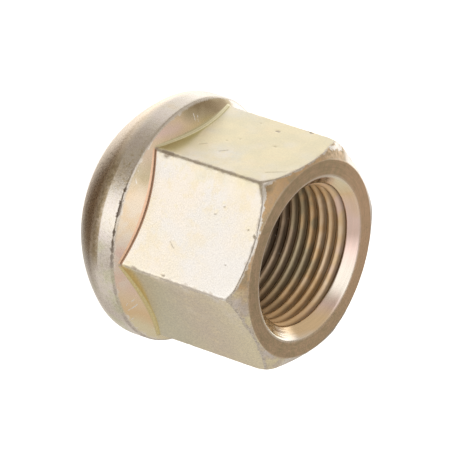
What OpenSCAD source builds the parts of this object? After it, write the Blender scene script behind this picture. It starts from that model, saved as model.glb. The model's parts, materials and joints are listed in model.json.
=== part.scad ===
// Ball-seat wheel nut, forged and turned in one piece.
// It stands on its seat end: Z runs up the thread's axis and the seat end lies on z = 0.

/* [Stud thread] */
// Nominal diameter of the stud thread
thread_d = 20; // [18:0.5:21]
// Pitch of the stud thread
thread_pitch = 1.5; // [1:0.25:2]
// Opening of the open end's countersink beyond the thread, on the radius
open_sink = 0.95; // [0.4:0.05:1.2]
// Opening of the seat end's countersink beyond the thread, on the radius
seat_sink = 0.6; // [0.3:0.05:1]
// Included angle of both countersinks
sink_angle = 90; // [60:5:100]

/* [Hexagon] */
// Width across the flats
across_flats = 27; // [26:0.5:28]
// Height from the seat end to the open end
height = 28; // [26:0.5:36]
// Gap between the open face's edge and the flats, on the radius
face_inset = 0.4; // [0.2:0.1:1]
// Slope of the open end's chamfer, from the face
chamfer_slope = 30; // [15:1:40]
// Depth taken off each sharp corner
corner_wear = 0.14; // [0.05:0.01:0.4]

/* [Collar and ball seat] */
// Reach of the collar beyond the sharp corners
collar_lip = 0.86; // [0.5:0.02:1.2]
// Slope of the collar's upper face, down from the hexagon
collar_slope = 33; // [20:1:40]
// Height of the straight band round the rim
rim_land = 2.2; // [1:0.1:3]
// Round between the rim and the ball seat
rim_round = 3.9; // [2:0.1:5]
// Round on the rim's upper edge
edge_round = 0.4; // [0.2:0.05:0.8]
// Radius of the ball seat
seat_sphere_r = 19; // [18.5:0.25:24]
// Width of the flat ring at the seat end
end_ring_w = 1.3; // [0.8:0.1:2]

/* [Hidden] */
$fn = 120;

ARC_STEPS = 12;       // chords in each arc of the collar's outline
BITE = 1;             // how far a cutter runs past the face that it cuts
MINOR_FACTOR = 1.0825; // depth of an internal thread for each unit of pitch

thread_r = thread_d / 2;
bore_r = thread_r - MINOR_FACTOR * thread_pitch / 2;
open_sink_r = thread_r + open_sink;
seat_sink_r = thread_r + seat_sink;

flat_r = across_flats / 2;
corner_r = flat_r / cos(30);
worn_r = corner_r - corner_wear;
face_r = flat_r - face_inset;
shoulder_z = height - (worn_r - face_r) * tan(chamfer_slope);

collar_r = corner_r + collar_lip;
seat_end_r = seat_sink_r + end_ring_w;
seat_centre_z = sqrt(pow(seat_sphere_r, 2) - pow(seat_end_r, 2));
rim_centre_r = collar_r - rim_round;
rim_centre_drop = sqrt(pow(seat_sphere_r - rim_round, 2) - pow(rim_centre_r, 2));
rim_centre_z = seat_centre_z - rim_centre_drop;
tangent_angle = atan2(rim_centre_drop, rim_centre_r);
seat_end_angle = atan2(seat_centre_z, seat_end_r);
rim_top_z = rim_centre_z + rim_land;
edge_turn = 90 - collar_slope;
edge_centre = [collar_r - edge_round, rim_top_z - edge_round * tan(edge_turn / 2)];
cone_end_r = flat_r - BITE;
cone_end_z = rim_top_z + (collar_r - cone_end_r) * tan(collar_slope);

// Points along an arc, with its first point and without its last
function arc(centre, radius, start, end) =
    [for (i = [0 : ARC_STEPS - 1])
        let (angle = start + (end - start) * i / ARC_STEPS)
            centre + radius * [cos(angle), sin(angle)]];

function arc_end(centre, radius, angle) = [centre + radius * [cos(angle), sin(angle)]];

// Outline of the collar: seat end, ball seat, rim, upper edge and sloping upper face
function collar_outline() = concat(
    [[0, 0]],
    arc([0, seat_centre_z], seat_sphere_r, -seat_end_angle, -tangent_angle),
    arc([rim_centre_r, rim_centre_z], rim_round, -tangent_angle, 0),
    arc_end([rim_centre_r, rim_centre_z], rim_round, 0),
    arc(edge_centre, edge_round, 0, edge_turn),
    arc_end(edge_centre, edge_round, edge_turn),
    [[cone_end_r, cone_end_z], [0, cone_end_z]]
);

// Hexagon with its corners taken down and its open end chamfered
module hexagon() {
    hex_h = height - rim_centre_z;
    intersection() {
        translate([0, 0, rim_centre_z])
            cylinder(r = corner_r, h = hex_h, $fn = 6);
        rotate_extrude()
            polygon([
                [0, 0],
                [worn_r, 0],
                [worn_r, shoulder_z],
                [face_r, height],
                [0, height]
            ]);
    }
}

module collar() {
    rotate_extrude()
        polygon(collar_outline());
}

// Countersink cutter, opening upward from the bore to mouth_r at z = 0
module countersink(mouth_r) {
    spread = tan(sink_angle / 2);
    depth = (mouth_r - bore_r) / spread;
    translate([0, 0, -depth])
        cylinder(r1 = bore_r, r2 = mouth_r + BITE * spread, h = depth + BITE);
}

// Bore at the thread's minor diameter, countersunk at both ends
module stud_bore() {
    translate([0, 0, -BITE])
        cylinder(r = bore_r, h = height + 2 * BITE);
    translate([0, 0, height])
        countersink(open_sink_r);
    rotate([180, 0, 0])
        countersink(seat_sink_r);
}

module wheel_nut() {
    color("#D9CBA3")
        difference() {
            union() {
                hexagon();
                collar();
            }
            stud_bore();
        }
}

wheel_nut();
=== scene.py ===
"""Ball-seat wheel nut in yellow zinc plate, with its thread cut, its edges worn and its studio set up."""

import json
import math
import random
from types import SimpleNamespace

import bmesh
import bpy
from mathutils import Matrix, Vector, kdtree, noise


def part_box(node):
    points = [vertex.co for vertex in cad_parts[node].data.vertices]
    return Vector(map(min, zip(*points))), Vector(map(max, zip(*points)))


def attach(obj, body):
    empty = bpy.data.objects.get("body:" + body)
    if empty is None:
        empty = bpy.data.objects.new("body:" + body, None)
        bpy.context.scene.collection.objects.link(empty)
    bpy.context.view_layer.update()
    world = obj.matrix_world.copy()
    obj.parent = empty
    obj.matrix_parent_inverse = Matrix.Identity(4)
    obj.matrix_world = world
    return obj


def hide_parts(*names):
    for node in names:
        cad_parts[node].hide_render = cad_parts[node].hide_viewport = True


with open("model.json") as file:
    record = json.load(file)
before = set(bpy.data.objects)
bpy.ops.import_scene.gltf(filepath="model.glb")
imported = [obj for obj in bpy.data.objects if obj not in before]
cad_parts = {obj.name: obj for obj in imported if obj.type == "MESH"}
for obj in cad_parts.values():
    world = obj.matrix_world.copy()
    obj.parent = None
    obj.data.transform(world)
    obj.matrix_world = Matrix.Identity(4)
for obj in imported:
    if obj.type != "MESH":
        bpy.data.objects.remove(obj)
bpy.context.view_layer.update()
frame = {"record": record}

bl_info = {
    "name": "Wheel Nut",
    "version": (1, 0, 0),
    "blender": (4, 5, 0),
    "location": "3D View > Sidebar > Wheel Nut",
    "description": "Makes a plated ball-seat wheel nut and the studio that shows it",
    "category": "Object",
}

NODE = "wheel_nut"
BODY = "root"

MM = 0.001
SIDES = 6
HALF_SIDE = math.pi / SIDES
TINY = 1e-7
# Depth of an internal thread for each unit of its pitch
MINOR_FACTOR = 1.0825
# Slopes of the collar's upper face and of the open end's chamfer, from level
COLLAR_SLOPE = math.radians(33)
CHAMFER_SLOPE = math.radians(30)
LOW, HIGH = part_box(NODE)
MOUNTS = {mount["name"]: mount for mount in frame["record"]["mounts"]}


def length(name, millimetres, text):
    return bpy.props.FloatProperty(
        name=name, description=text, default=millimetres * MM, unit="LENGTH", precision=5
    )


def colour(name, rgb, text):
    return bpy.props.FloatVectorProperty(
        name=name, description=text, default=rgb, size=3, subtype="COLOR", min=0.0, max=1.0
    )


def share(name, value, text, most=1.0):
    return bpy.props.FloatProperty(name=name, description=text, default=value, min=0.0, max=most)


class NutSizes(bpy.types.PropertyGroup):
    """Sizes of the nut, all in the frame that it was packed in."""

    height: length("Height", (HIGH[2] - LOW[2]) / MM, "From the seat end to the open end")
    across_flats: length(
        "Across flats",
        (MOUNTS["rear_wrench_flat"]["pos_m"][1] - MOUNTS["front_wrench_flat"]["pos_m"][1]) / MM,
        "Width of the hexagon",
    )
    collar_diameter: length("Collar", (HIGH[0] - LOW[0]) / MM, "Diameter of the round collar")
    bore_radius: length("Bore", MOUNTS["stud_thread"]["dims"]["r_mm"], "Radius at the thread's crests")
    pitch: length("Pitch", 1.5, "Rise of the thread in one turn")
    open_sink: length("Open countersink", 10.95, "Radius of the countersink at the open end")
    seat_sink: length("Seat countersink", 10.6, "Radius of the countersink at the seat end")
    face_radius: length("Open face", 13.1, "Outer radius of the flat ring at the open end")
    seat_radius: length("Ball seat", 19.0, "Radius of the ball seat")
    seat_end: length("Seat end", 11.9, "Outer radius of the flat ring at the seat end")
    rim_round: length("Rim round", 3.9, "Round between the rim and the ball seat")
    rim_land: length("Rim band", 2.2, "Height of the straight band round the rim")
    rim_edge: length("Rim edge", 0.4, "Round on the rim's upper edge")
    root_fillet: length("Root fillet", 0.45, "Fillet where the flats run into the collar")
    corner_round: length("Corner round", 0.65, "Round along the hexagon's six corners")
    chamfer_edge: length("Chamfer edge", 0.32, "Round where the chamfer meets the flats")
    sink_edge: length("Sink edge", 0.8, "Round where the open face meets its countersink")
    ring_edge: length("Ring edge", 0.22, "Round on the edges of the flat rings")


class PlateColours(bpy.types.PropertyGroup):
    """Colours of the yellow zinc plate."""

    # Cream also makes painted highlights in the countersinks
    cream: colour("Cream", (0.93, 0.885, 0.82), "Thin film on the flats")
    frost: colour("Frost", (0.88, 0.88, 0.88), "Bluish film in clouds on the flats")
    straw: colour("Straw", (0.90, 0.84, 0.63), "Yellow film on the flats")
    wheat: colour("Wheat", (0.91, 0.82, 0.62), "Warm film in patches on the flats")
    sage: colour("Sage", (0.72, 0.72, 0.58), "Greenish film low on the side flats")
    beige: colour("Beige", (0.78, 0.71, 0.61), "Thick film on the flats")
    blush: colour("Blush", (0.95, 0.76, 0.67), "Pink film on turned faces")
    peach: colour("Peach", (0.94, 0.78, 0.59), "Orange film on turned faces")
    honey: colour("Honey", (0.90, 0.70, 0.46), "Deep orange film on turned faces")
    amber: colour("Amber", (0.86, 0.63, 0.37), "Deep gold film in the thread and on the chamfer")
    rose: colour("Rose", (0.94, 0.75, 0.71), "Violet-pink film on the slope and in the countersinks")
    # Saffron also makes painted reflection low in the side fillets
    saffron: colour("Saffron", (0.76, 0.64, 0.26), "Golden film low in the side fillets")
    # Bronze in scales under the rim is painted shade
    bronze: colour("Bronze", (0.38, 0.30, 0.19), "Dark film beside a tip and in scales under the rim")
    # Gold is painted reflection and shade in the side fillets
    gold: colour("Gold", (0.52, 0.48, 0.21), "Yellow-green film in the fillets")
    olive: colour("Olive", (0.60, 0.52, 0.36), "Green film on the slope, the chamfer and the open face")
    taupe: colour("Taupe", (0.78, 0.745, 0.69), "Dull film on the forged rim and the ball seat")
    lilac: colour("Lilac", (0.78, 0.73, 0.71), "Violet film in clouds on the rim")
    umber: colour("Umber", (0.75, 0.60, 0.44), "Brown film on the open face and deep in the thread")
    # This brown also paints shade into the crease below the front flat
    rust_and_shade: colour("Rust", (0.40, 0.25, 0.17), "Brown film in the crease below the front flat")
    # Coral beside that crease is a painted highlight
    coral: colour("Coral", (0.98, 0.68, 0.50), "Orange film beside that crease")
    # Lemon along the side fillets is a painted glint
    lemon: colour("Lemon", (0.95, 0.91, 0.68), "Pale film along the side fillets")
    worn: colour("Worn", (0.65, 0.60, 0.54), "Bare metal on knocked edges")
    # Bright also makes painted highlights on the slope, the chamfer, the slope's outer edge and the
    # countersink's edge, and glints in the bore
    bright: colour("Bright", (0.95, 0.93, 0.90), "Bare metal in fresh scuffs")
    # This dark colour also paints shade into the thread's roots and deep in the bore
    grime_and_shade: colour("Grime", (0.14, 0.10, 0.07), "Dirt in pits and thread roots")


class StudioLight(bpy.types.PropertyGroup):
    """Floor and light of the studio."""

    floor: colour("Floor", (0.90, 0.90, 0.90), "Colour of the floor")
    glow: share("Glow", 1.0, "Light that the floor gives off, as a lit table does", 10.0)
    room: colour("Room", (1.0, 0.87, 0.71), "Colour of the dim room round the nut")
    dusk: colour("Dusk", (0.26, 0.175, 0.105), "Colour of the room's dark sides")
    sky: share("Sky", 0.46, "Strength of the light from the room", 10.0)
    cards: share("Cards", 1.0, "Strength of the soft lights and bounce cards", 10.0)


def nut_form(sizes):
    """Radii and heights that follow from the sizes, in metres."""
    form = SimpleNamespace()
    form.height = sizes.height
    form.flat_r = sizes.across_flats / 2
    form.collar_r = sizes.collar_diameter / 2
    form.bore_r = sizes.bore_radius
    form.pitch = sizes.pitch
    form.thread_r = form.bore_r + MINOR_FACTOR * form.pitch / 2
    form.open_sink, form.seat_sink = sizes.open_sink, sizes.seat_sink
    form.face_r = sizes.face_radius
    form.cone_slope = math.tan(COLLAR_SLOPE)
    form.chamfer_slope = math.tan(CHAMFER_SLOPE)
    form.corner_round = sizes.corner_round

    form.seat_r, form.seat_end = sizes.seat_radius, sizes.seat_end
    form.seat_z = math.sqrt(form.seat_r**2 - form.seat_end**2)
    form.rim_round = sizes.rim_round
    form.rim_r = form.collar_r - form.rim_round
    drop = math.sqrt((form.seat_r - form.rim_round) ** 2 - form.rim_r**2)
    form.rim_z = form.seat_z - drop
    form.tangent = math.atan2(drop, form.rim_r)
    form.rim_top = form.rim_z + sizes.rim_land
    form.root_z = form.rim_top + (form.collar_r - form.flat_r) * form.cone_slope
    form.shoulder_z = form.height - (form.flat_r - form.face_r) * form.chamfer_slope
    return form


def arc(centre, radius, start, end, steps):
    """Points along an arc in the section, given as (radius, height)."""
    angles = [start + (end - start) * i / steps for i in range(steps + 1)]
    return [(centre[0] + radius * math.cos(a), centre[1] + radius * math.sin(a)) for a in angles]


def rounded(before, corner, after, radius, steps):
    """Points of a round of that radius in a corner of the section."""
    corner = Vector(corner)
    back = (Vector(before) - corner).normalized()
    ahead = (Vector(after) - corner).normalized()
    half = back.angle(ahead) / 2
    reach = radius / math.tan(half)
    centre = corner + (back + ahead).normalized() * (radius / math.sin(half))
    first = corner + back * reach - centre
    turn = math.pi - 2 * half
    if back.x * ahead.y - back.y * ahead.x > 0:
        turn = -turn
    start = math.atan2(first.y, first.x)
    return arc(centre, radius, start, start + turn, steps)


STEP_SLACK = 1e-6


def divided(points, spacing):
    """The same line with points added so that no step is longer than spacing."""
    line = [points[0]]
    for start, end in zip(points, points[1:]):
        steps = max(1, math.ceil(math.dist(start, end) / spacing - STEP_SLACK))
        for i in range(1, steps + 1):
            share_done = i / steps
            line.append(tuple(a + (b - a) * share_done for a, b in zip(start, end)))
    return line


# Depth at which the outer shell's countersinks end and the threaded wall's begin
SHELL_SINK = 0.3 * MM
WALL_SINK = 0.45 * MM
ROW_SPACING = 0.32 * MM
CHAMFER_SPACING = 0.03 * MM
# Steps in each arc of the section
BALL_STEPS = 12
RIM_STEPS = 10
EDGE_STEPS = 5
FILLET_STEPS = 6
SHOULDER_STEPS = 4
RING_STEPS = 3
SINK_STEPS = 7


def section_rounds(form, sizes):
    """Rounds of the section from the rim's upper edge to the open end's countersink, and its end."""
    rim_top = (form.collar_r, form.rim_top)
    root = (form.flat_r, form.root_z)
    shoulder = (form.flat_r, form.shoulder_z)
    face_edge = (form.face_r, form.height)
    open_mouth = (form.open_sink, form.height)
    open_end = (form.open_sink - SHELL_SINK, form.height - SHELL_SINK)
    return SimpleNamespace(
        rim=rounded((form.collar_r, form.rim_z), rim_top, root, sizes.rim_edge, EDGE_STEPS),
        root=rounded(rim_top, root, shoulder, sizes.root_fillet, FILLET_STEPS),
        shoulder=rounded(root, shoulder, face_edge, sizes.chamfer_edge, SHOULDER_STEPS),
        face=rounded(shoulder, face_edge, open_mouth, sizes.ring_edge, RING_STEPS),
        sink=rounded(face_edge, open_mouth, open_end, sizes.sink_edge, SINK_STEPS),
        end=open_end,
    )


def section_outline(form, sizes, rounds):
    """Section through the middle of a flat, from the seat end's countersink to the open end's."""
    seat_start = (form.seat_sink - SHELL_SINK, SHELL_SINK)
    seat_mouth = (form.seat_sink, 0.0)
    seat_edge = (form.seat_end, 0.0)
    ball_start = -math.atan2(form.seat_z, form.seat_end)
    ball = arc((0.0, form.seat_z), form.seat_r, ball_start, -form.tangent, BALL_STEPS)
    rim = arc((form.rim_r, form.rim_z), form.rim_round, -form.tangent, 0.0, RIM_STEPS)
    outline = [seat_start]
    outline += rounded(seat_start, seat_mouth, seat_edge, sizes.ring_edge, RING_STEPS)
    outline += rounded(seat_mouth, seat_edge, ball[1], sizes.ring_edge, RING_STEPS)
    outline += ball[1:] + rim[1:] + rounds.rim + rounds.root + rounds.shoulder[:-1]
    outline += divided([rounds.shoulder[-1], rounds.face[0]], CHAMFER_SPACING)
    outline += rounds.face[1:] + rounds.sink + [rounds.end]
    return outline


def section_zones(form, rounds):
    """Radii and heights in the section that part the collar, the slope, the flat and the chamfer."""
    return SimpleNamespace(
        rim_top=rounds.rim[0][1] + TINY,
        slope_outer=rounds.rim[-1][0] - TINY,
        slope_inner=rounds.root[0][0] + TINY,
        wall_low=rounds.root[-1][1],
        wall_high=rounds.shoulder[0][1] + TINY,
        chamfer_outer=rounds.shoulder[-1][0] - TINY,
        chamfer_inner=rounds.face[0][0] + TINY,
        face=form.height - TINY,
    )


def side_angles(angle):
    """Angle from the nearest corner of the hexagon, and from the middle of that corner's flat."""
    off_corner = (angle + HALF_SIDE) % (2 * HALF_SIDE) - HALF_SIDE
    return off_corner, HALF_SIDE - abs(off_corner)


def corner_reach(form, angle):
    """How far the hexagon stands out beyond its flats' radius at an angle round the axis."""
    off_corner, off_flat = side_angles(angle)
    centre = (form.flat_r - form.corner_round) / math.cos(HALF_SIDE)
    across = form.flat_r * math.tan(off_flat)
    tangent = (form.flat_r - form.corner_round) * math.tan(HALF_SIDE)
    if across <= tangent:
        return form.flat_r / math.cos(off_flat) - form.flat_r
    side = centre * math.sin(off_corner)
    return centre * math.cos(off_corner) + math.sqrt(form.corner_round**2 - side**2) - form.flat_r


def press_point(form, zones, r, z, reach):
    """Where a point of the turned blank goes when the hexagon is pressed out to reach."""
    if z <= zones.rim_top or r >= zones.slope_outer or z >= zones.face:
        return r, z
    if r > zones.slope_inner and z < zones.wall_low:
        shift = reach * (zones.slope_outer - r) / (zones.slope_outer - zones.slope_inner)
        return r + shift, z - form.cone_slope * shift
    if z <= zones.wall_high:
        done = min(1.0, max(0.0, (z - zones.wall_low) / (zones.wall_high - zones.wall_low)))
        slope = form.cone_slope + (form.chamfer_slope - form.cone_slope) * done
        return r + reach, z - slope * reach
    if r >= zones.chamfer_outer:
        return r + reach, z - form.chamfer_slope * reach
    if r <= zones.chamfer_inner:
        return r, z
    shift = reach * (r - zones.chamfer_inner) / (zones.chamfer_outer - zones.chamfer_inner)
    return r + shift, z - form.chamfer_slope * shift


COLUMNS = 360
CROWDING = 0.6
GAP_REACH = 8 * MM
RIDGE_REACH = 2 * MM
TIP_REACH = 2.0 * MM
# Wear of the six tips in turn, from the one on +X
TIP_DEPTHS = (0.30 * MM, 0.12 * MM, 0.02 * MM, 0.22 * MM, 0.10 * MM, 0.10 * MM)
# Depth of the flat that knocks have left on each tip, and how softly it runs out
TIP_CUTS = (0.0, 0.0, 0.0, 0.0, 0.42 * MM, 0.26 * MM)
CUT_SOFT = 0.20 * MM
# Wear at a tip, where an edge's own is 1, and how far up its knocks face
TIP_WEAR = 1.02
TIP_LEAN = Vector((0.0, 0.0, 0.9))

# Values that each vertex carries for the plate's shader: its zone, its places in it and its marks
LAYERS = (
    "flat", "slope", "rim", "chamfer", "face", "sink", "thread",
    "root_gap", "ridge", "groove", "pit", "chip", "scuff",
)


def crowd_corners(angle):
    """Moves an even angle so that columns crowd towards the hexagon's corners."""
    return angle - CROWDING * math.sin(SIDES * angle) / SIDES


def surface_marks(form, zones, angle, before, after):
    """Values that the plate's shader reads at a point of the shell, before and after pressing."""
    (r, z), (new_r, new_z) = before, after
    reach = corner_reach(form, angle)
    corner_gap = form.flat_r * (math.tan(HALF_SIDE) - math.tan(side_angles(angle)[1]))
    values = {"root_gap": GAP_REACH}
    if z < SHELL_SINK + TINY and r < form.seat_sink or r < form.open_sink and z > form.height / 2:
        zone, ridge_gap = "sink", abs(r - form.open_sink)
    elif z <= zones.rim_top or r >= zones.slope_outer:
        zone, ridge_gap = "rim", math.dist((r, z), (form.collar_r, form.rim_top))
        values["root_gap"] = -GAP_REACH
    elif r > zones.slope_inner and z < zones.wall_low:
        zone, ridge_gap = "slope", math.dist((new_r, new_z), (form.collar_r, form.rim_top))
        values["root_gap"] = (form.flat_r + reach - new_r) / math.cos(math.atan(form.cone_slope))
    elif z <= zones.wall_high:
        zone, ridge_gap = "flat", min(corner_gap, form.shoulder_z - z)
        values["root_gap"] = z - form.root_z
    elif r >= zones.chamfer_inner:
        along = (form.flat_r + reach - new_r) / math.cos(math.atan(form.chamfer_slope))
        zone, ridge_gap = "chamfer", max(0.0, along)
    else:
        zone, ridge_gap = "face", min(abs(r - form.face_r), abs(r - form.open_sink))
    values[zone] = 1.0
    values["ridge"] = max(0.0, 1.0 - ridge_gap / RIDGE_REACH)
    return values


def tip_nearness(form, co):
    """Closest of the open end's six tips, its place and facing, and nearness to it from 0 to 1."""
    index = round(math.atan2(co.y, co.x) / (2 * HALF_SIDE)) % SIDES
    angle = index * 2 * HALF_SIDE
    reach = corner_reach(form, 0.0)
    outward = Vector((math.cos(angle), math.sin(angle), 0.0))
    tip = outward * (form.flat_r + reach) + Vector((0, 0, form.shoulder_z - form.chamfer_slope * reach))
    facing = (outward + TIP_LEAN).normalized()
    return index, tip, facing, max(0.0, 1.0 - (co - tip).length / TIP_REACH)


def soft_min(a, b, width):
    """The lesser of two lengths, blended over width."""
    h = max(0.0, min(1.0, 0.5 + 0.5 * (b - a) / width))
    return b + (a - b) * h - width * h * (1.0 - h)


def blunt_tip(form, co):
    """Moves a point near a tip inwards, where knocks have rounded it."""
    index, tip, facing, near = tip_nearness(form, co)
    if TIP_CUTS[index]:
        proud = (co - tip).dot(facing) + TIP_CUTS[index]
        co = co + facing * (soft_min(proud, 0.0, CUT_SOFT) - proud)
    return co - facing * TIP_DEPTHS[index] * near * near


def make_shell(bm, form, sizes):
    """Turns the blank from its section, presses the six flats into it and lists what lies where."""
    rounds = section_rounds(form, sizes)
    outline = divided(section_outline(form, sizes, rounds), ROW_SPACING)
    line = [bm.verts.new((r, 0.0, z)) for r, z in outline]
    edges = [bm.edges.new(pair) for pair in zip(line, line[1:])]
    bmesh.ops.spin(
        bm,
        geom=line + edges,
        cent=(0, 0, 0),
        axis=(0, 0, 1),
        angle=2 * math.pi,
        steps=COLUMNS,
        use_merge=True,
    )
    zones = section_zones(form, rounds)
    marks = []
    for vert in bm.verts:
        angle = crowd_corners(math.atan2(vert.co.y, vert.co.x))
        blank = (vert.co.xy.length, vert.co.z)
        r, z = press_point(form, zones, *blank, corner_reach(form, angle))
        co = Vector((r * math.cos(angle), r * math.sin(angle), z))
        values = surface_marks(form, zones, angle, blank, (r, z))
        if "flat" in values or "chamfer" in values:
            values["ridge"] = max(values["ridge"], TIP_WEAR * tip_nearness(form, co)[3])
        marks.append(values)
        vert.co = blunt_tip(form, co)
    return marks


TURN_STEPS = 120
THREAD_ROWS = 12
# Slope of the thread's flanks, and half the flat in its groove for each unit of pitch
FLANK = math.tan(math.radians(60))
GROOVE_FLAT = 1 / 16
CREST_ROUND = 0.48 * MM
ROOT_ROUND = 0.25 * MM
THREAD_START = -0.445 * MM
SPARE_TURNS = 4
CUT_GAP = 1e-8


def thread_section(form, along):
    """Radius of the thread's wall at a distance along one pitch, with the groove in the middle."""
    off_groove = abs(along - form.pitch / 2)
    flank_r = form.thread_r + (form.pitch * GROOVE_FLAT - off_groove) * FLANK
    r = soft_min(flank_r, form.thread_r, ROOT_ROUND)
    return -soft_min(-r, -form.bore_r, CREST_ROUND)


def sink_radius(form, z):
    """Radius that the countersinks clear at a height."""
    return max(form.open_sink - (form.height - z), form.seat_sink - z)


def make_thread(bm, form):
    """Cuts one turn of the thread, repeats it up the bore and eases it into the countersinks."""
    rows = [form.pitch * i / THREAD_ROWS for i in range(THREAD_ROWS + 1)]
    start = THREAD_START - 2 * form.pitch
    line = [bm.verts.new((thread_section(form, row), 0.0, row + start)) for row in rows]
    edges = [bm.edges.new(pair) for pair in zip(line, line[1:])]
    bmesh.ops.spin(
        bm,
        geom=line + edges,
        cent=(0, 0, 0),
        axis=(0, 0, 1),
        dvec=(0, 0, form.pitch / TURN_STEPS),
        angle=2 * math.pi,
        steps=TURN_STEPS,
    )
    first_turn = bm.verts[:] + bm.edges[:] + bm.faces[:]
    for turn in range(1, math.ceil(form.height / form.pitch) + SPARE_TURNS):
        copy = bmesh.ops.duplicate(bm, geom=first_turn)["geom"]
        verts = [item for item in copy if isinstance(item, bmesh.types.BMVert)]
        bmesh.ops.translate(bm, verts=verts, vec=(0, 0, form.pitch * turn))
    bmesh.ops.remove_doubles(bm, verts=bm.verts, dist=TINY)
    for vert in bm.verts:
        r = vert.co.xy.length
        vert.co.xy *= max(1.0, sink_radius(form, vert.co.z) / r)
    for height, side in ((form.height - WALL_SINK, 1), (WALL_SINK, -1)):
        bmesh.ops.bisect_plane(
            bm,
            geom=bm.verts[:] + bm.edges[:] + bm.faces[:],
            dist=CUT_GAP,
            plane_co=(0, 0, height),
            plane_no=(0, 0, side),
            clear_outer=True,
        )


def open_loop(bm, above):
    """Open edges in the upper or the lower half of the nut."""
    middle = (LOW[2] + HIGH[2]) / 2
    return [e for e in bm.edges if e.is_boundary and (e.verts[0].co.z > middle) == above]


def join_wall(bm, wall):
    """Adds the threaded wall to the shell and closes both countersinks between them."""
    mesh = bpy.data.meshes.new("threaded_wall")
    wall.to_mesh(mesh)
    bm.from_mesh(mesh)
    bpy.data.meshes.remove(mesh)
    for above in (True, False):
        bmesh.ops.bridge_loops(bm, edges=open_loop(bm, above))
    bmesh.ops.recalc_face_normals(bm, faces=bm.faces)


# Pits, scratches and chips on the flats that face the front: the two ends of each, its half
# width and its depth, in millimetres
KNOCKS = (
    ((-14.25, -2.25, 18.85), (-14.33, -2.25, 19.25), 0.30, 0.10),
    ((-12.40, -5.52, 21.25), (-12.40, -5.52, 21.55), 0.26, 0.09),
    ((-11.98, -6.25, 16.43), (-11.98, -6.25, 16.50), 0.24, 0.07),
    ((-11.31, -7.42, 15.27), (-11.31, -7.42, 15.35), 0.22, 0.06),
    ((-14.60, -1.72, 15.82), (-14.60, -1.72, 15.90), 0.22, 0.06),
    ((-9.89, -9.87, 13.03), (-10.26, -9.23, 13.75), 0.12, 0.05),
    ((-9.76, -10.10, 16.37), (-10.23, -9.28, 17.13), 0.12, 0.05),
    ((-9.06, -11.30, 24.75), (-9.92, -9.81, 26.93), 0.10, 0.05),
    ((-15.38, -0.36, 22.64), (-15.45, -0.24, 22.90), 0.30, 0.14),
    ((-15.70, 0.19, 10.60), (-15.70, 0.19, 11.20), 0.40, 0.16),
    ((2.83, -13.50, 15.51), (3.55, -13.50, 16.35), 0.09, 0.03),
    ((-7.35, -13.50, 11.15), (-7.75, -13.40, 11.50), 0.52, 0.06),
    ((-7.74, -13.41, 10.50), (-7.74, -13.41, 12.00), 0.36, 0.05),
    ((-1.18, -13.50, 27.45), (-1.10, -13.50, 27.65), 0.26, 0.16),
    ((-3.47, -13.50, 21.83), (-3.47, -13.50, 21.90), 0.14, 0.05),
    ((-2.24, -13.50, 20.81), (-2.30, -13.50, 20.95), 0.13, 0.04),
    ((-1.65, -13.50, 26.23), (-1.65, -13.50, 26.30), 0.15, 0.05),
    ((3.45, -13.50, 24.48), (3.45, -13.50, 24.60), 0.13, 0.04),
    ((7.20, -13.50, 15.92), (7.25, -13.50, 16.10), 0.22, 0.09),
    ((7.58, -13.50, 11.25), (7.62, -13.50, 11.60), 0.36, 0.05),
    ((13.38, -3.83, 20.28), (13.38, -3.83, 20.35), 0.22, 0.05),
)
# Fresh scuffs on the collar's slope and the chamfer, given in the same way
SCUFFS = (
    ((13.31, -8.27, 9.11), (12.23, -7.81, 9.86), 0.14, 0.03),
    ((12.04, -8.90, 9.56), (11.69, -8.74, 9.81), 0.16, 0.03),
    ((12.73, -9.09, 9.13), (12.44, -9.18, 9.25), 0.13, 0.03),
    ((14.38, -6.77, 8.97), (14.02, -6.62, 9.22), 0.13, 0.03),
    ((-3.37, -15.46, 9.01), (-2.80, -15.23, 9.23), 0.10, 0.03),
    ((-13.30, -7.57, 9.35), (-12.52, -7.40, 9.84), 0.10, 0.03),
    ((-13.20, -6.93, 9.61), (-12.50, -6.91, 10.01), 0.07, 0.02),
    ((-7.15, -13.12, 26.62), (-6.00, -13.16, 27.16), 0.24, 0.01),
    ((-5.40, -13.35, 27.10), (-2.60, -13.45, 27.55), 0.16, 0.02),
    ((-14.30, -1.90, 27.12), (-14.66, 0.70, 27.05), 0.48, 0.004),
    ((-14.98, -0.45, 26.75), (-15.02, 0.45, 26.70), 0.50, 0.004),
)
CHIP_WIDTH = 0.29 * MM
# Knocks scattered over the other flats: how many and how often one is a scratch, the angles of
# those flats, the share of a flat's width and the heights that they lie in, their lengths and
# half widths in millimetres, the share of its length that a pit keeps, and the depth for each
# unit of half width
MORE_KNOCKS = 24
SCRATCH_EVERY = 4
KNOCK_SEED = 7
KNOCK_SIDES = (30, 90, 150)
KNOCK_SPREAD = 0.95
KNOCK_HEIGHTS = (13.5, 25.5)
KNOCK_LENGTHS = (0.5, 1.6)
SCRATCH_WIDTH = 0.11
PIT_WIDTHS = (0.11, 0.22)
PIT_LENGTH = 0.12
KNOCK_DEPTH = 0.34
# Mesh round the knocks: how far it is refined, how often, and the longest edge for each unit
# of half width
KNOCK_MARGIN = 0.25 * MM
REFINE_STEPS = 2
REFINE_EDGE = 0.9
# Dents along the ridges: their depth, their size and the wear where they start
RIDGE_DENT = 0.06 * MM
RIDGE_GRAIN = 0.7 * MM
RIDGE_START = 0.7


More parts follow.
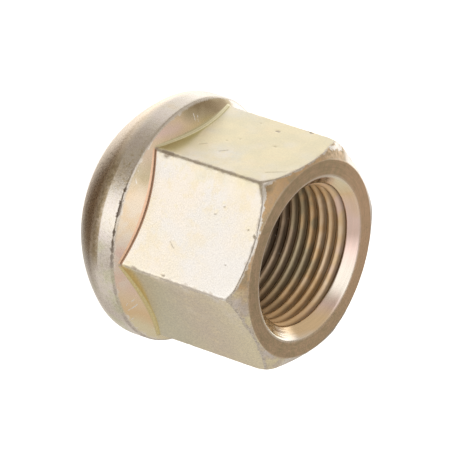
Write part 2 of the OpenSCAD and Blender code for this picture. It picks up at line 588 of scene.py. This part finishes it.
def more_knocks(form):
    """Further pits and scratches, scattered over the flats that face the sides and the back."""
    chance = random.Random(KNOCK_SEED)
    knocks = []
    for index in range(MORE_KNOCKS):
        turn = math.radians(chance.choice(KNOCK_SIDES))
        across = chance.uniform(-KNOCK_SPREAD, KNOCK_SPREAD) * form.flat_r * math.tan(HALF_SIDE)
        height = chance.uniform(*KNOCK_HEIGHTS) * MM
        out = Vector((math.cos(turn), math.sin(turn), 0.0)) * form.flat_r
        side = Vector((-math.sin(turn), math.cos(turn), 0.0))
        start = out + side * across + Vector((0, 0, height))
        lean = chance.uniform(-1.0, 1.0)
        long = index % SCRATCH_EVERY == 0
        along = side * lean + Vector((0, 0, 1.0 - abs(lean)))
        run = along * chance.uniform(*KNOCK_LENGTHS) * MM
        end = start + run * (1.0 if long else PIT_LENGTH)
        half_width = (SCRATCH_WIDTH if long else chance.uniform(*PIT_WIDTHS)) * MM
        knocks.append((start, end, half_width, half_width * KNOCK_DEPTH))
    return knocks


def gap_to_line(point, start, end):
    """Distance from a point to the line between two ends."""
    along = end - start
    share_done = max(0.0, min(1.0, (point - start).dot(along) / along.length_squared))
    return (point - start - along * share_done).length


def verts_near(bm, knocks, margin):
    """For each knock, the vertices that lie within its half width and a margin of it."""
    verts = bm.verts[:]
    tree = kdtree.KDTree(len(verts))
    for index, vert in enumerate(verts):
        tree.insert(vert.co, index)
    tree.balance()
    for start, end, half_width, depth in knocks:
        radius = (end - start).length / 2 + half_width + margin
        found = [verts[index] for place, index, gap in tree.find_range((start + end) / 2, radius)]
        yield [v for v in found if gap_to_line(v.co, start, end) < half_width + margin]


def refine_mesh(bm, knocks):
    """Divides the mesh round each knock until it can take the knock's shape."""
    for step in range(REFINE_STEPS):
        coarse = set()
        for knock, verts in zip(knocks, verts_near(bm, knocks, KNOCK_MARGIN)):
            longest = knock[2] * REFINE_EDGE
            coarse.update(e for v in verts for e in v.link_edges if e.calc_length() > longest)
        bm.edges.index_update()
        edges = sorted(coarse, key=lambda e: e.index)
        bmesh.ops.subdivide_edges(bm, edges=edges, cuts=1, use_grid_fill=True)


def scaled(knocks):
    """The same knocks in metres."""
    return [(Vector(a) * MM, Vector(b) * MM, width * MM, depth * MM) for a, b, width, depth in knocks]


def knock_surface(bm, form):
    """Dents the ridges, and knocks pits, scratches and chips into the flats and scuffs beside them."""
    scuffs = scaled(SCUFFS)
    knocks = scuffs + scaled(KNOCKS) + more_knocks(form)
    refine_mesh(bm, knocks)
    bm.normal_update()
    layer = {name: bm.verts.layers.float[name] for name in LAYERS}
    dents = {}
    for vert in bm.verts:
        ridge = vert[layer["ridge"]]
        if vert[layer["flat"]] + vert[layer["chamfer"]] > 0.5 and ridge > RIDGE_START:
            lump = max(0.0, noise.noise(vert.co / RIDGE_GRAIN))
            dents[vert] = RIDGE_DENT * lump * (ridge - RIDGE_START) / (1.0 - RIDGE_START)
    for index, verts in enumerate(verts_near(bm, knocks, 0.0)):
        start, end, half_width, depth = knocks[index]
        kind = "scuff" if index < len(scuffs) else "chip" if half_width > CHIP_WIDTH else "pit"
        for vert in verts:
            near = 1.0 - gap_to_line(vert.co, start, end) / half_width
            dents[vert] = max(dents.get(vert, 0.0), depth * near * near * (3 - 2 * near))
            vert[layer[kind]] = max(vert[layer[kind]], near)
    for vert, dent in dents.items():
        vert.co -= vert.normal * dent


def store_marks(bm, form, marks):
    """Stores on each vertex what the plate's shader reads there."""
    layers = {name: bm.verts.layers.float.new(name) for name in LAYERS}
    for vert, values in zip(bm.verts, marks):
        for name, value in values.items():
            vert[layers[name]] = value
    for vert in list(bm.verts)[len(marks):]:
        r = vert.co.xy.length
        sunk = r - sink_radius(form, vert.co.z) < TINY
        vert[layers["sink" if sunk else "thread"]] = 1.0
        vert[layers["root_gap"]] = GAP_REACH
        vert[layers["groove"]] = (r - form.bore_r) / (form.thread_r - form.bore_r)


def make_object(name, bm):
    """Makes a smooth mesh object of a bmesh and frees it."""
    mesh = bpy.data.meshes.new(name)
    bm.to_mesh(mesh)
    bm.free()
    mesh.shade_smooth()
    piece = bpy.data.objects.new(name, mesh)
    bpy.context.scene.collection.objects.link(piece)
    return piece


def solid(rgb):
    """The same colour with its alpha."""
    return (*rgb, 1.0)


class Shader:
    """Short ways to add and link nodes in one material or world."""

    def __init__(self, tree):
        self.tree = tree
        tree.nodes.clear()

    def add(self, kind, inputs=(), **settings):
        node = self.tree.nodes.new(kind)
        for key, value in settings.items():
            setattr(node, key, value)
        for key, value in dict(inputs).items():
            if isinstance(value, bpy.types.NodeSocket):
                self.tree.links.new(value, node.inputs[key])
            else:
                node.inputs[key].default_value = value
        return node

    def attribute(self, name):
        return self.add("ShaderNodeAttribute", attribute_name=name).outputs["Fac"]

    def noise(self, vector, scale, detail=3.0, rough=0.5):
        inputs = {"Vector": vector, "Scale": scale, "Detail": detail, "Roughness": rough}
        return self.add("ShaderNodeTexNoise", inputs).outputs["Fac"]

    def math(self, operation, a, b=0.0):
        return self.add("ShaderNodeMath", {0: a, 1: b}, operation=operation).outputs[0]

    def plus(self, first, *others):
        for other in others:
            first = self.math("ADD", first, other)
        return first

    def times(self, first, *others):
        for other in others:
            first = self.math("MULTIPLY", first, other)
        return first

    def vector(self, operation, a, b=(0.0, 0.0, 0.0), result="Vector"):
        return self.add("ShaderNodeVectorMath", {0: a, 1: b}, operation=operation).outputs[result]

    def span(self, value, low, high, to_low=0.0, to_high=1.0, straight=False):
        """Goes from to_low to to_high as the value goes from low to high, and stays there beyond."""
        inputs = {"Value": value, "From Min": low, "From Max": high, "To Min": to_low, "To Max": to_high}
        kind = "LINEAR" if straight else "SMOOTHSTEP"
        return self.add("ShaderNodeMapRange", inputs, interpolation_type=kind).outputs["Result"]

    def mix(self, fac, a, b, blend="MIX"):
        inputs = {"Factor": fac, 6: a, 7: b}
        return self.add("ShaderNodeMix", inputs, data_type="RGBA", blend_type=blend).outputs[2]


# Ends in millimetres of what the films change over: along X, as the nut hung in its bath, and
# along Z up the bore
BATH = (-16.0, 16.0)
BORE = (8.0, 30.0)


class PlateShader(Shader):
    """Shader of the plate, with its colours and the places in millimetres that they follow."""

    def __init__(self, tree, colours):
        super().__init__(tree)
        self.colours = colours
        place = self.add("ShaderNodeTexCoord").outputs["Object"]
        in_mm = {"Vector": place, "Scale": (1 / MM,) * 3}
        self.spot = self.add("ShaderNodeMapping", in_mm).outputs["Vector"]
        axes = self.add("ShaderNodeSeparateXYZ", {"Vector": self.spot}).outputs
        self.x, self.y, self.z = axes["X"], axes["Y"], axes["Z"]
        self.zone = {name: self.attribute(name) for name in LAYERS}
        self.ridge = self.zone["ridge"]
        self.root_gap = self.times(self.zone["root_gap"], 1 / MM)
        self.grain = self.cloud(4.5, 4.0, 0.65)

        wander = self.span(self.cloud(0.22, 2.0), 0.25, 0.75, -2.4, 2.4)
        self.hung = self.plus(self.x, wander)
        self.level = self.span(self.hung, *BATH, straight=True)
        self.tier = self.span(self.plus(self.x, self.times(wander, 0.3)), *BATH, straight=True)
        self.depth = self.span(self.plus(self.z, wander), *BORE, straight=True)
        self.warmed = self.where((self.z, 6.5, 4.5, 0.0, 0.8), (self.level, 0.75, 0.6))

        level_spot = self.vector("MULTIPLY", self.spot, (1.0, 1.0, 0.0))
        self.out = self.vector("LENGTH", level_spot, result="Value")
        outward = self.add("ShaderNodeCombineXYZ", {"X": self.out}).outputs["Vector"]
        self.lathe = self.vector("ADD", outward, self.vector("MULTIPLY", self.spot, (0.05,) * 3))

    def film(self, name):
        return solid(getattr(self.colours, name))

    def cloud(self, scale, detail=3.0, rough=0.5):
        return self.noise(self.spot, scale, detail, rough)

    def bands(self, value, *stops):
        """Films that follow each other, each given by its place and its name."""
        node = self.add("ShaderNodeValToRGB", {"Fac": value})
        elements = node.color_ramp.elements
        while len(elements) < len(stops):
            elements.new(0.5)
        for element, (place, name) in zip(elements, stops):
            element.position = place
            element.color = self.film(name)
        return node.outputs["Color"]

    def where(self, *masks):
        """Product of masks, each a value or what span takes."""
        return self.times(*(self.span(*mask) if isinstance(mask, tuple) else mask for mask in masks))

    def paint(self, under, name, *masks):
        """Lays a film over what is under it, where all the masks let it."""
        return self.mix(self.where(*masks), under, self.film(name))


def rim_film(plate):
    """Dull film on the forged rim and the ball seat, peach under the rim's band, with painted shade there
    in bronze scales.
    """
    cloud = plate.cloud(0.35, 3.0, 0.6)
    film = plate.mix(
        plate.span(plate.level, 0.55, 0.7),
        plate.bands(cloud, (0.30, "beige"), (0.42, "taupe"), (0.66, "lilac")),
        plate.bands(cloud, (0.36, "sage"), (0.48, "taupe"), (0.62, "lilac")),
    )
    film = plate.paint(film, "peach", plate.warmed)
    # Bronze scales under the rim's band, towards the front: painted shade, a dark reflection broken up
    # like grain
    scales = (plate.cloud(1.8, 4.0, 0.65), 0.3, 0.6, 0.5, 0.95)
    painted_dark_band = ((plate.z, 6.42, 6.15), (plate.z, 4.7, 5.5))
    middle = ((plate.x, -7.0, -3.5), (plate.x, 10.0, 7.0))
    film = plate.paint(film, "bronze", scales, *painted_dark_band, *middle)
    sandy = plate.where((plate.level, 0.54, 0.42), (plate.level, 0.20, 0.32))
    specks = (plate.cloud(2.2, 4.0, 0.7), 0.48, 0.66)
    return plate.paint(film, "olive", specks, (sandy, 0.0, 1.0, 0.25, 0.8))


def flat_film(plate):
    """Cream film on the flats, with clouds, patches and specks in it."""
    level = plate.level
    film = plate.bands(level, (0.16, "straw"), (0.29, "cream"), (0.72, "cream"), (0.82, "beige"))
    film = plate.paint(film, "frost", (plate.cloud(0.2, 1.0), 0.42, 0.66, 0.0, 0.7), (level, 0.75, 0.66))
    film = plate.paint(film, "straw", (plate.cloud(0.16, 2.0), 0.42, 0.72, 0.0, 0.35))
    film = plate.paint(film, "wheat", (plate.cloud(0.55, 4.0, 0.6), 0.48, 0.66, 0.0, 0.55))
    low_side = (level, 0.70, 0.80)
    open_end = (plate.z, 19.0, 27.0, 0.0, 0.55)
    film = plate.paint(film, "straw", open_end, (level, 0.31, 0.24))
    film = plate.paint(film, "lemon", open_end, low_side)
    film = plate.paint(film, "sage", (plate.z, 20.0, 13.0, 0.0, 0.75), low_side)
    film = plate.paint(film, "sage", (plate.cloud(0.3, 2.0), 0.4, 0.62, 0.0, 0.3), (level, 0.33, 0.25))
    specks = (plate.cloud(1.5, 4.0, 0.7), 0.52, 0.68)
    film = plate.paint(film, "straw", specks, (plate.hung, 4.0, -4.0, 0.2, 0.6))
    front = ((plate.hung, -4.0, 4.0), (plate.y, -13.2, -13.4))
    return plate.paint(film, "frost", (plate.z, 14.0, 25.0, 0.0, 0.85), *front)


def slope_film(plate):
    """Bands of pink, orange and green on the collar's slope, golden and paler in places, with a white
    painted highlight at its back on -X.
    """
    film = plate.bands(
        plate.tier,
        (0.0, "olive"), (0.02, "bronze"), (0.045, "bronze"), (0.075, "olive"), (0.12, "peach"),
        (0.17, "rose"), (0.235, "blush"), (0.36, "olive"), (0.47, "peach"), (0.62, "peach"),
        (0.68, "rose"), (0.74, "blush"), (0.82, "blush"), (0.87, "peach"), (0.92, "honey"),
        (0.97, "straw"),
    )
    # Painted highlight: white on the slope's back towards -X
    film = plate.paint(film, "bright", (plate.y, 0.0, 1.8), (plate.x, -13.5, -15.0))
    upper = ((plate.x, -6.0, -9.0), (plate.x, -14.6, -12.8, 0.0, 0.42))
    film = plate.paint(film, "saffron", (plate.root_gap, -1.7, -0.4), *upper)
    patches = (plate.cloud(0.45), 0.40, 0.60, 0.0, 0.65)
    return plate.paint(film, "cream", patches, (plate.y, -10.0, -12.0), (plate.x, -5.0, 3.0, 0.2, 1.0))


def chamfer_film(plate):
    """Brown and gold film on the chamfer, pale towards +X and dark beside its corner on -X, with a white
    painted highlight over its back half.
    """
    blotch = plate.cloud(0.5)
    brown = plate.bands(blotch, (0.36, "umber"), (0.5, "amber"), (0.64, "olive"))
    brown = plate.paint(brown, "rust_and_shade", 0.3)
    dark = plate.bands(plate.cloud(1.6), (0.36, "bronze"), (0.60, "umber"))
    brown = plate.mix(plate.span(plate.x, -12.2, -13.6, 0.0, 0.85), brown, dark)
    pale = plate.bands(blotch, (0.46, "straw"), (0.54, "beige"), (0.64, "lilac"))
    film = plate.mix(plate.span(plate.level, 0.66, 0.78), brown, pale)
    # Painted highlight: white over the chamfer's back half
    return plate.paint(film, "bright", (plate.y, 0.8, 2.2))


def face_film(plate):
    """Brown film on the open face, redder towards the front and more orange towards the back."""
    film = plate.bands(plate.cloud(1.1, 4.0, 0.65), (0.36, "olive"), (0.60, "umber"))
    film = plate.paint(film, "rust_and_shade", (plate.y, 4.0, -6.0, 0.05, 0.2))
    return plate.paint(film, "coral", (plate.y, -4.0, 8.0), (plate.x, 8.0, 0.0, 0.1, 0.45))


def sink_film(plate):
    """Bands of straw, orange and pink in the countersinks, with cream bands as painted highlights,
    browner in their front halves.
    """
    # The cream bands among these are painted highlights
    back = plate.bands(
        plate.tier,
        (0.165, "straw"), (0.215, "honey"), (0.29, "rose"), (0.42, "rose"), (0.52, "cream"),
        (0.60, "cream"), (0.67, "rose"), (0.74, "honey"), (0.79, "honey"), (0.83, "cream"),
    )
    front = plate.bands(plate.tier, (0.2, "bronze"), (0.3, "olive"), (0.7, "peach"), (0.8, "lemon"))
    return plate.mix(plate.span(plate.y, 1.0, -3.0), back, front)


def thread_film(plate):
    """Bands of brown, green, gold and pink up the thread, deep gold on its +X side."""
    film = plate.bands(
        plate.depth,
        (0.2, "umber"), (0.45, "umber"), (0.53, "olive"), (0.58, "olive"), (0.65, "amber"),
        (0.73, "peach"), (0.78, "honey"), (0.86, "blush"),
    )
    return plate.paint(film, "amber", (plate.x, 3.0, 9.0, 0.0, 0.8))


# Films laid over the rim's, each in its own zone
FILMS = {
    "flat": flat_film,
    "slope": slope_film,
    "chamfer": chamfer_film,
    "face": face_film,
    "sink": sink_film,
    "thread": thread_film,
}


def painted_fillet_light(plate, shade):
    """Painted reflection, shade and glint in gold in the side fillets; painted shade and highlight in the
    front and back crease.
    """
    gap = plate.root_gap
    aside = plate.math("ABSOLUTE", plate.x)
    off_middle = plate.span(aside, 7.4, 8.2)
    middle = plate.math("SUBTRACT", 1.0, off_middle)
    below = plate.span(plate.x, -2.0, 2.0)
    wedge = plate.span(aside, 7.6, 12.4, plate.span(below, 0.0, 1.0, 3.6, 2.6), 0.5)
    reflection_wedge = (gap, wedge, plate.times(wedge, 0.4))
    painted_corner_reflection = plate.where(reflection_wedge, off_middle, plate.zone["flat"], (below, 0.0, 1.0, 0.78, 0.9))
    # Gold and saffron wedge: painted reflection of the collar, with painted shade in the corner
    shade = plate.mix(painted_corner_reflection, shade, plate.paint(plate.film("gold"), "saffron", below))
    painted_fillet_glint = ((gap, 0.22, 0.12), (gap, -0.20, -0.12, 0.0, 0.85))
    # Lemon line: painted glint along the side fillets
    shade = plate.paint(shade, "lemon", *painted_fillet_glint, off_middle, (below, 0.0, 1.0, 1.0, 0.4))
    # Coral line: painted highlight beside the crease
    shade = plate.paint(shade, "coral", (gap, -0.42, -0.28), (gap, 0.30, 0.22), middle)
    # Painted shade in the crease below the front and back flats
    return plate.paint(shade, "rust_and_shade", (gap, 0.36, 0.28), (gap, -0.02, 0.08), middle)


def edge_wear(plate, shade):
    """Bare metal on knocked edges and in scuffs, darker pits, a dark line along the rim's edge, and a
    painted highlight on the slope's outer edge.
    """
    zone, ridge, level = plate.zone, plate.ridge, plate.level
    heavy = plate.span(plate.cloud(0.35, 2.0), 0.35, 0.65, -0.08, 0.06)
    torn = plate.span(plate.cloud(1.4, 4.0, 0.65), 0.25, 0.75, -0.13, 0.13)
    ragged = plate.plus(ridge, torn, heavy)
    shade = plate.paint(shade, "worn", (ragged, 0.86, 0.93, 0.0, 0.7), zone["flat"])

    front_edge = plate.span(plate.y, -11.6, -12.4, 0.0, 0.05)
    front_edge = plate.math("MAXIMUM", front_edge, plate.span(level, 0.60, 0.70, 0.0, 0.06))
    edged = plate.plus(ridge, plate.span(plate.cloud(0.9, 2.0), 0.3, 0.7, -0.08, 0.08), front_edge)
    bare = plate.paint(plate.film("worn"), "taupe", (plate.grain, 0.4, 0.6))
    shade = plate.mix(plate.where((edged, 0.90, 0.97), zone["chamfer"]), shade, bare)

    strip = plate.plus(ridge, plate.span(plate.cloud(2.2), 0.3, 0.7, -0.09, 0.09))
    front = ((plate.y, -11.6, -12.4, 0.0, 0.9), (level, 0.62, 0.52))
    shade = plate.paint(shade, "bright", (strip, 0.80, 0.87), zone["chamfer"], *front)
    low_side = ((level, 0.36, 0.46), (plate.x, 10.0, 4.0, 0.25, 1.0))
    shade = plate.paint(shade, "grime_and_shade", (ragged, 0.89, 0.96, 0.0, 0.75), zone["rim"], *low_side)
    # Painted highlight: white along the slope's outer edge, ragged like wear
    shade = plate.paint(shade, "bright", (ragged, 0.76, 0.90, 0.0, 0.9), zone["slope"])

    shade = plate.paint(shade, "grime_and_shade", (zone["pit"], 0.2, 1.0, 0.0, 0.36))
    bared = plate.paint(plate.film("worn"), "bronze", 0.4)
    shade = plate.mix(plate.span(zone["chip"], 0.1, 0.6), shade, bared)
    frayed = plate.plus(zone["scuff"], plate.span(plate.cloud(2.8), 0.3, 0.7, -0.3, 0.3))
    return plate.paint(shade, "bright", (frayed, 0.25, 0.6), (zone["scuff"], 0.0, 0.1))


def painted_thread_shade(plate, shade):
    """Painted shade in the thread's roots and deep in the bore, with painted glints in that shade."""
    thread = plate.zone["thread"]
    # Painted shade in the thread's roots
    shade = plate.paint(shade, "grime_and_shade", (plate.zone["groove"], 0.40, 1.0, 0.0, 0.6), thread)
    # Painted shade, stronger deeper in the bore
    deep = plate.where((plate.depth, 0.66, 0.14, 0.0, 0.85), thread)
    shade = plate.paint(shade, "grime_and_shade", deep)
    # Painted glints in that shade
    return plate.paint(shade, "bright", (plate.cloud(3.2, 2.0), 0.68, 0.74), deep)


def turning_marks(plate, shade):
    """Rings from turning on the open face and in the countersinks, with a painted highlight on the edge
    between.
    """
    turned = plate.span(plate.noise(plate.lathe, 5.0), 0.3, 0.7, 0.90, 1.05)
    spun = plate.plus(plate.times(plate.zone["sink"], 0.5), plate.zone["face"])
    shade = plate.mix(spun, shade, plate.mix(1.0, shade, turned, "MULTIPLY"))
    # Painted highlight along the countersink's edge, strongest towards the front
    edge = ((plate.out, 11.30, 11.12), (plate.out, 10.66, 10.82, 0.0, 0.5), (plate.z, 26.0, 27.0))
    return plate.paint(shade, "bright", *edge, (plate.y, 4.0, -2.0, 0.3, 1.0))


# What each zone adds to the plate's roughness
ROUGHER = {"rim": -0.06, "slope": -0.06, "sink": -0.18, "thread": 0.10}
BUMP_STRENGTH = 0.4
BUMP_HEIGHT = 0.03 * MM


def yellow_zinc(colours):
    """Yellow zinc plate: cream on the flats, pink and amber where turned, bare on knocked edges."""
    material = bpy.data.materials.new("yellow_zinc_plate")
    material.use_nodes = True
    plate = PlateShader(material.node_tree, colours)
    zone = plate.zone
    shade = rim_film(plate)
    for name, film in FILMS.items():
        shade = plate.mix(zone[name], shade, film(plate))
    for layer in (painted_fillet_light, edge_wear, painted_thread_shade, turning_marks):
        shade = layer(plate, shade)

    cut = plate.plus(zone["sink"], zone["thread"], plate.times(zone["slope"], 0.75))
    sandy = plate.math("SUBTRACT", 1.0, cut)
    speckle = plate.span(plate.grain, 0.3, 0.7, 0.80, 1.10)
    speckled = plate.mix(1.0, shade, speckle, "MULTIPLY")
    shade = plate.mix(plate.where(sandy, (plate.level, 0.26, 0.42, 0.4, 1.0)), shade, speckled)

    rough = plate.span(plate.grain, 0.3, 0.7, 0.30, 0.42)
    for name, change in ROUGHER.items():
        rough = plate.plus(rough, plate.times(zone[name], change))
    relief = plate.plus(
        plate.where(plate.grain, sandy),
        plate.where(plate.cloud(2.4, 3.0, 0.6), zone["rim"], (plate.warmed, 0.0, 1.0, 1.6, 3.4)),
        plate.where(plate.noise(plate.lathe, 2.6, 2.0), zone["sink"], (plate.x, 3.0, 8.0, 0.0, 5.0)),
    )
    bump_inputs = {"Height": relief, "Strength": BUMP_STRENGTH, "Distance": BUMP_HEIGHT}
    bump = plate.add("ShaderNodeBump", bump_inputs)
    surface = plate.add(
        "ShaderNodeBsdfPrincipled",
        {"Base Color": shade, "Metallic": 1.0, "Roughness": rough, "Normal": bump.outputs["Normal"]},
    )
    plate.add("ShaderNodeOutputMaterial", {"Surface": surface.outputs["BSDF"]})
    return material


NORMAL_WEIGHT = 80


class WHEELNUT_OT_make_nut(bpy.types.Operator):
    """Make the plated wheel nut in place of its plain solid."""

    bl_idname = "wheelnut.make_nut"
    bl_label = "Make Nut"

    def execute(self, context):
        sizes = context.scene.wheel_nut_sizes
        form = nut_form(sizes)
        wall = bmesh.new()
        make_thread(wall, form)
        bm = bmesh.new()
        marks = make_shell(bm, form, sizes)
        join_wall(bm, wall)
        wall.free()
        store_marks(bm, form, marks)
        knock_surface(bm, form)
        nut = make_object("plated_wheel_nut", bm)
        nut.data.materials.append(yellow_zinc(context.scene.wheel_nut_colours))
        weighted = nut.modifiers.new("weighted_normals", "WEIGHTED_NORMAL")
        weighted.mode = "FACE_AREA"
        weighted.weight = NORMAL_WEIGHT
        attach(nut, BODY)
        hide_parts(NODE)
        return {"FINISHED"}


# Where the camera stands, which way its right and its top point, and its lens in millimetres
CAMERA_PLACE = Vector((-26.6, -574.0, 383.8)) * MM
CAMERA_RIGHT = Vector((-0.2926, 0.5265, 0.7982))
CAMERA_UP = Vector((-0.9554, -0.1274, -0.2662))
CAMERA_LENS = 416.2
SENSOR = 36.0
CLIP_START = 0.01


def make_camera():
    """Sets the camera where the photograph was taken from, turned with the nut on its side."""
    data = bpy.data.cameras.new("camera")
    data.sensor_width = SENSOR
    data.lens = CAMERA_LENS
    data.clip_start = CLIP_START
    camera = bpy.data.objects.new("camera", data)
    right = CAMERA_RIGHT.normalized()
    back = right.cross(CAMERA_UP).normalized()
    up = back.cross(right)
    turn = Matrix((right, up, back)).transposed().to_4x4()
    camera.matrix_world = Matrix.Translation(CAMERA_PLACE) @ turn
    bpy.context.scene.collection.objects.link(camera)
    bpy.context.scene.camera = camera


# White cards and softboxes round the nut: the azimuth and elevation of each in degrees, the
# half-angles where it is full and where it ends, and its strength
CARDS = {
    "front_bounce": (-77, -28, 11, 26, 1.10),
    "left_bounce": (-47, -32, 7, 18, 0.36),
    "corner_bounce": (-4, -32, 7, 18, 0.27),
    "low_fill": (72, -36, 9, 22, 0.34),
    "side_bounce": (150, -38, 20, 44, 0.54),
    "rear_bounce": (114, -44, 15, 27, 0.62),
    "far_wall": (12, 2, 45, 75, 0.18),
    "back_fill": (158, 40, 16, 38, 0.13),
    "key": (-88, 62, 13, 37, 0.66),
    "overhead": (-168, 71, 6, 18, 0.26),
    "rim_light": (119, 0, 13, 29, 0.92),
}
# Dark cards, with the share of the sky's light that each takes away
SHADES = {
    "floor_shade": (100, -81, 20, 34, 1.0),
    "side_shade": (77, -18, 9, 22, 1.0),
    "rear_shade": (88, 31, 10, 30, 0.06),
    "camera_shade": (-92, 27, 14, 30, 0.65),
}


WHITE = (1.0, 1.0, 1.0, 1.0)
FLOOR_ROUGH = 0.9
FLOOR_HALF = 4.0


def card_light(shader, towards, card):
    """Strength that a card sends from a direction: full near its middle and none past its end."""
    azimuth, elevation, full, end, strength = card
    turn, rise = math.radians(azimuth), math.radians(elevation)
    axis = (math.cos(turn) * math.cos(rise), math.sin(turn) * math.cos(rise), math.sin(rise))
    aligned = shader.vector("DOT_PRODUCT", towards, axis, "Value")
    return shader.span(aligned, math.cos(math.radians(end)), math.cos(math.radians(full)), 0.0, strength)


def studio_world(light):
    """Warm dim room with white cards and softboxes in it, seen against a plain white backdrop."""
    world = bpy.data.worlds.new("studio")
    world.use_nodes = True
    shader = Shader(world.node_tree)
    towards = shader.add("ShaderNodeTexCoord").outputs["Generated"]
    room_colour = solid(light.room)
    for shade in SHADES.values():
        room_colour = shader.mix(card_light(shader, towards, shade), room_colour, solid(light.dusk))
    lit = shader.plus(*(card_light(shader, towards, card) for card in CARDS.values()))
    lit = shader.times(lit, light.cards)
    room = shader.add("ShaderNodeBackground", {"Color": room_colour, "Strength": light.sky}).outputs[0]
    cards = shader.add("ShaderNodeBackground", {"Color": WHITE, "Strength": lit}).outputs[0]
    studio = shader.add("ShaderNodeAddShader", {0: room, 1: cards}).outputs[0]
    backdrop = shader.add("ShaderNodeBackground", {"Color": WHITE}).outputs[0]
    seen = shader.add("ShaderNodeLightPath").outputs["Is Camera Ray"]
    both = shader.add("ShaderNodeMixShader", {0: seen, 1: studio, 2: backdrop})
    shader.add("ShaderNodeOutputWorld", {"Surface": both.outputs[0]})
    return world


def pale_floor(light):
    """Pale matt table that is lit from within."""
    material = bpy.data.materials.new("pale_floor")
    material.use_nodes = True
    shader = Shader(material.node_tree)
    surface = shader.add(
        "ShaderNodeBsdfPrincipled",
        {
            "Base Color": solid(light.floor),
            "Roughness": FLOOR_ROUGH,
            "Emission Color": solid(light.floor),
            "Emission Strength": light.glow,
        },
    )
    shader.add("ShaderNodeOutputMaterial", {"Surface": surface.outputs["BSDF"]})
    return material


class WHEELNUT_OT_set_stage(bpy.types.Operator):
    """Set the floor, the lights and the camera."""

    bl_idname = "wheelnut.set_stage"
    bl_label = "Set Stage"

    def execute(self, context):
        light = context.scene.wheel_nut_light
        bm = bmesh.new()
        bmesh.ops.create_grid(bm, x_segments=1, y_segments=1, size=FLOOR_HALF)
        floor = make_object("floor", bm)
        floor.data.materials.append(pale_floor(light))
        floor.visible_glossy = False
        context.scene.world = studio_world(light)
        make_camera()
        context.scene.view_settings.view_transform = "Standard"
        return {"FINISHED"}


class WHEELNUT_PT_panel(bpy.types.Panel):
    """Sizes, colours and steps of the wheel nut."""

    bl_idname = "WHEELNUT_PT_panel"
    bl_label = "Wheel Nut"
    bl_space_type = "VIEW_3D"
    bl_region_type = "UI"
    bl_category = "Wheel Nut"

    def draw(self, context):
        column = self.layout.column()
        for group in GROUPS:
            settings = getattr(context.scene, group)
            for name in settings.__annotations__:
                column.prop(settings, name)
        for operator in OPERATORS:
            column.operator(operator.bl_idname)


GROUPS = {
    "wheel_nut_sizes": NutSizes,
    "wheel_nut_colours": PlateColours,
    "wheel_nut_light": StudioLight,
}
OPERATORS = (WHEELNUT_OT_make_nut, WHEELNUT_OT_set_stage)
CLASSES = (*GROUPS.values(), *OPERATORS, WHEELNUT_PT_panel)


def register():
    for item in CLASSES:
        bpy.utils.register_class(item)
    for name, group in GROUPS.items():
        setattr(bpy.types.Scene, name, bpy.props.PointerProperty(type=group))


def unregister():
    for name in GROUPS:
        delattr(bpy.types.Scene, name)
    for item in reversed(CLASSES):
        bpy.utils.unregister_class(item)


def main():
    register()
    bpy.ops.wheelnut.make_nut()
    bpy.ops.wheelnut.set_stage()


if __name__ == "__main__":
    main()
